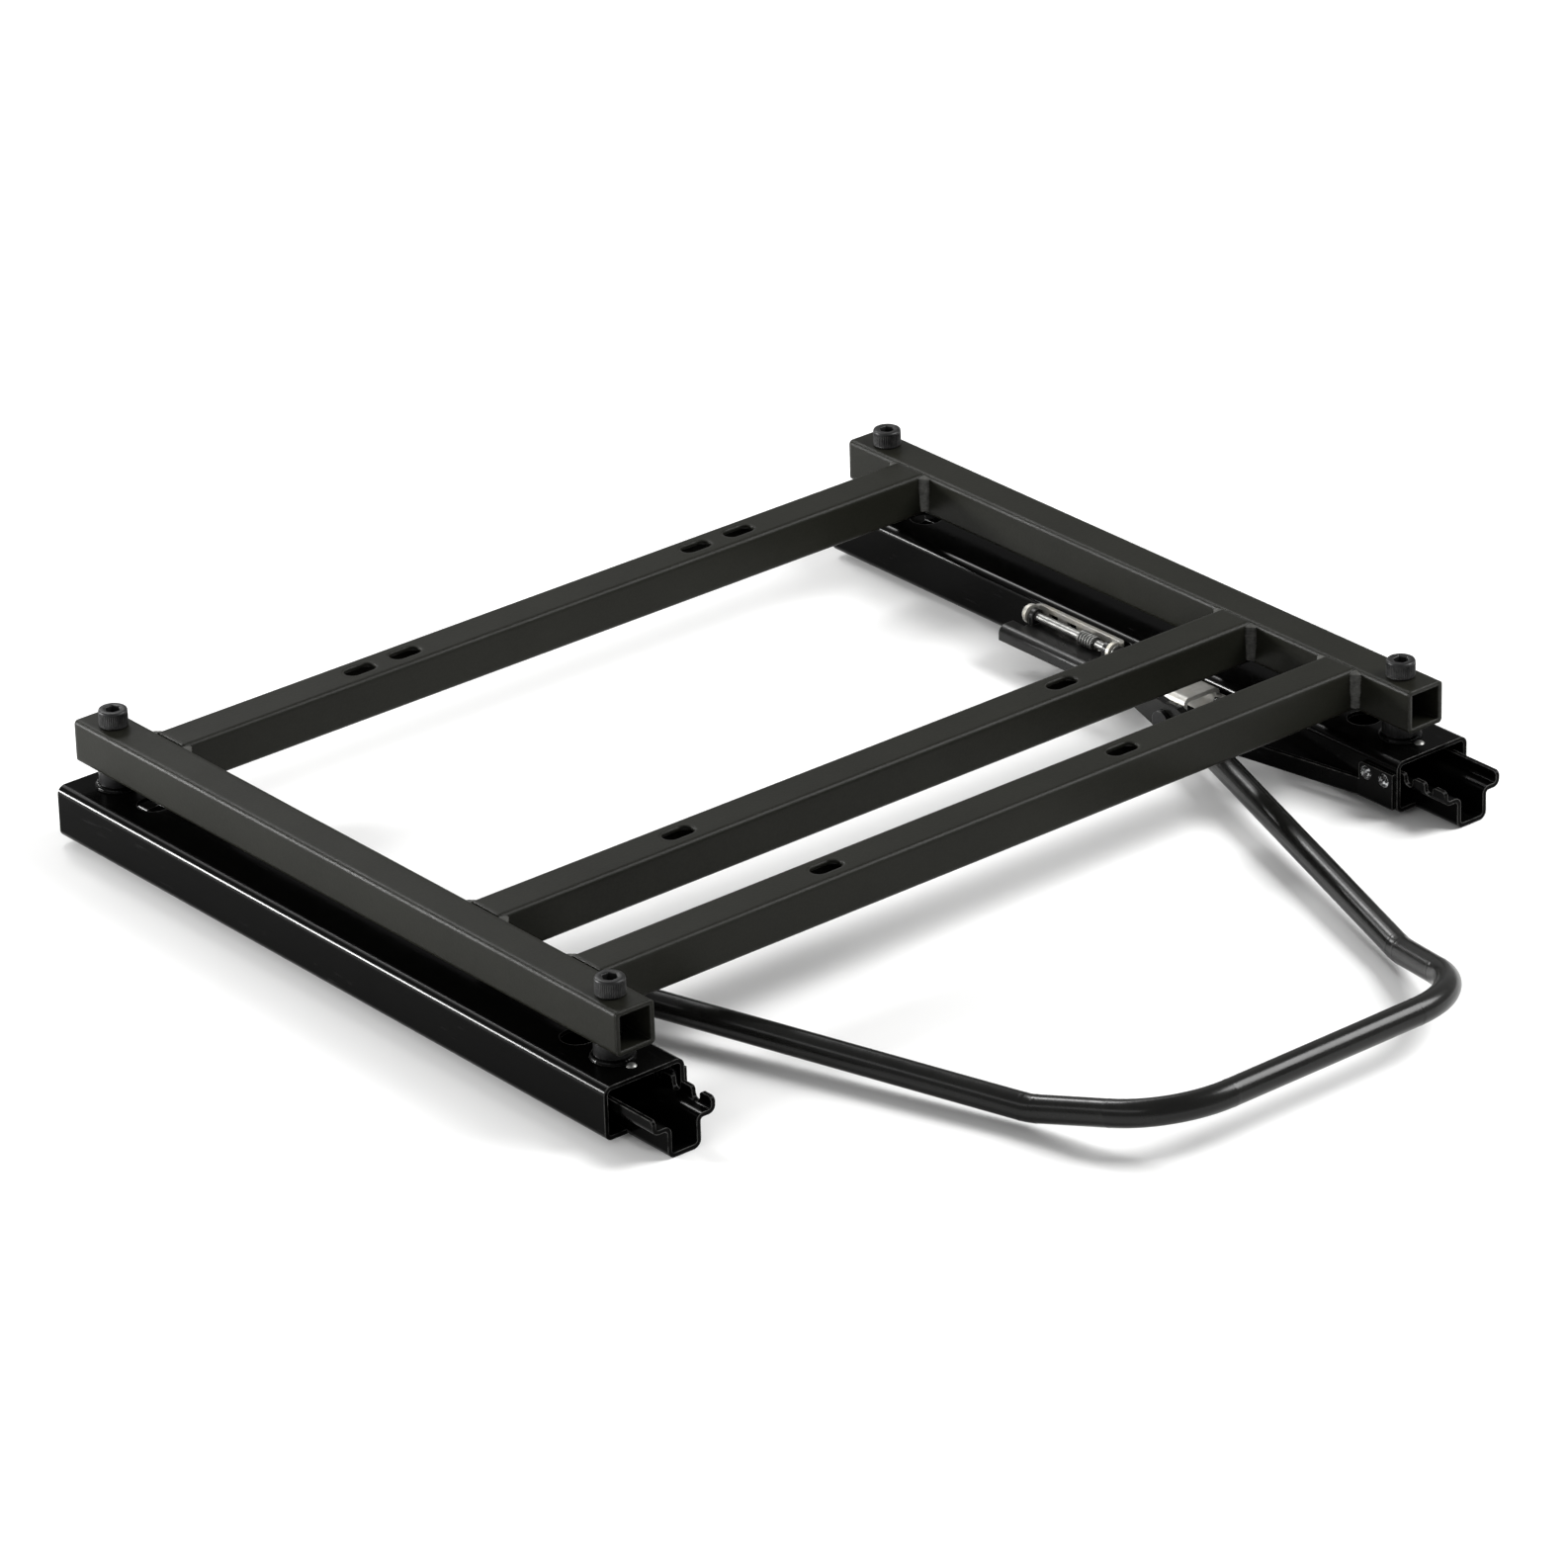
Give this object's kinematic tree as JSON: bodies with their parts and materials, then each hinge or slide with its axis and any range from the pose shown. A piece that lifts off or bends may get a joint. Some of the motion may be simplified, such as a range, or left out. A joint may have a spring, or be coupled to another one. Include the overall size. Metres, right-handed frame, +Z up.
{
  "type": "seat slide rail",
  "caption": "Adjustable seat slide: a slotted square-tube frame on folded rails that run on rollers and balls, locked by toothed pawls and freed by a bent lift bar.",
  "frame": {"origin": "on the floor plane under the lower rails, at the centre of the four floor bolt holes", "axes": "+Z up out of the floor, +Y along the rails towards the rear of the seat, -Y towards the release bar"},
  "size_m": [0.484, 0.5521, 0.0635],
  "materials": {
    "rail_black": "gloss",
    "frame_coat": "satin",
    "screw_black": "satin",
    "handle_black": "semi-gloss",
    "zinc_plate": "zinc plated",
    "bright_steel": "bright"
  },
  "bodies": {
    "base": {"lower_rail_left": "rail_black", "lower_rail_right": "rail_black"},
    "carriage": {"upper_rail_left": "rail_black", "upper_rail_right": "rail_black", "side_tube_left": "frame_coat", "side_tube_right": "frame_coat", "rear_cross_tube": "frame_coat", "middle_cross_tube": "frame_coat", "front_cross_tube": "frame_coat", "weld_beads": "frame_coat", "frame_screws": "screw_black", "frame_bosses": "screw_black", "stop_rivets": "bright_steel", "plate_rivets": "bright_steel", "lock_plate_left": "zinc_plate", "lock_plate_right": "zinc_plate", "lock_pin_left": "bright_steel", "lock_pin_right": "bright_steel", "lock_spring_left": "bright_steel", "lock_spring_right": "bright_steel", "handle_bracket_left": "zinc_plate", "handle_bracket_right": "zinc_plate", "handle_strap_left": "rail_black", "handle_strap_right": "rail_black", "handle_pin_left": "screw_black", "handle_pin_right": "screw_black"},
    "handle": {"release_handle": "handle_black"},
    "pawl_left": {"lock_pawl_left": "rail_black"},
    "pawl_right": {"lock_pawl_right": "rail_black"},
    "rolling_left": {"rollers_left": "bright_steel", "balls_left": "bright_steel"},
    "rolling_right": {"rollers_right": "bright_steel", "balls_right": "bright_steel"}
  },
  "joints": [
    {"name": "carriage_slide", "type": "slide", "parent": "base", "child": "carriage", "axis": [0, 1, 0], "range_m": [-0.1, 0.05]},
    {"name": "handle_lift", "type": "hinge", "parent": "carriage", "child": "handle", "pos_m": [0, -0.043, 0.0135], "axis": [-1, 0, 0], "range_deg": [0, 7.3]},
    {"name": "pawl_left_swing", "type": "hinge", "parent": "carriage", "child": "pawl_left", "pos_m": [-0.193, 0.039, 0.0225], "axis": [0, 1, 0], "range_deg": [0, 23], "deforming": ["lock_spring_left"]},
    {"name": "pawl_right_swing", "type": "hinge", "parent": "carriage", "child": "pawl_right", "pos_m": [0.193, 0.039, 0.0225], "axis": [0, -1, 0], "range_deg": [0, 23], "deforming": ["lock_spring_right"]},
    {"name": "rolling_left_slide", "type": "slide", "parent": "base", "child": "rolling_left", "axis": [0, 1, 0], "range_m": [-0.05, 0.025]},
    {"name": "rolling_right_slide", "type": "slide", "parent": "base", "child": "rolling_right", "axis": [0, 1, 0], "range_m": [-0.05, 0.025]}
  ],
  "couplings": [
    {"joint": "pawl_left_swing", "follows": "handle_lift", "ratio": 3.15},
    {"joint": "pawl_right_swing", "follows": "handle_lift", "ratio": 3.15}
  ]
}
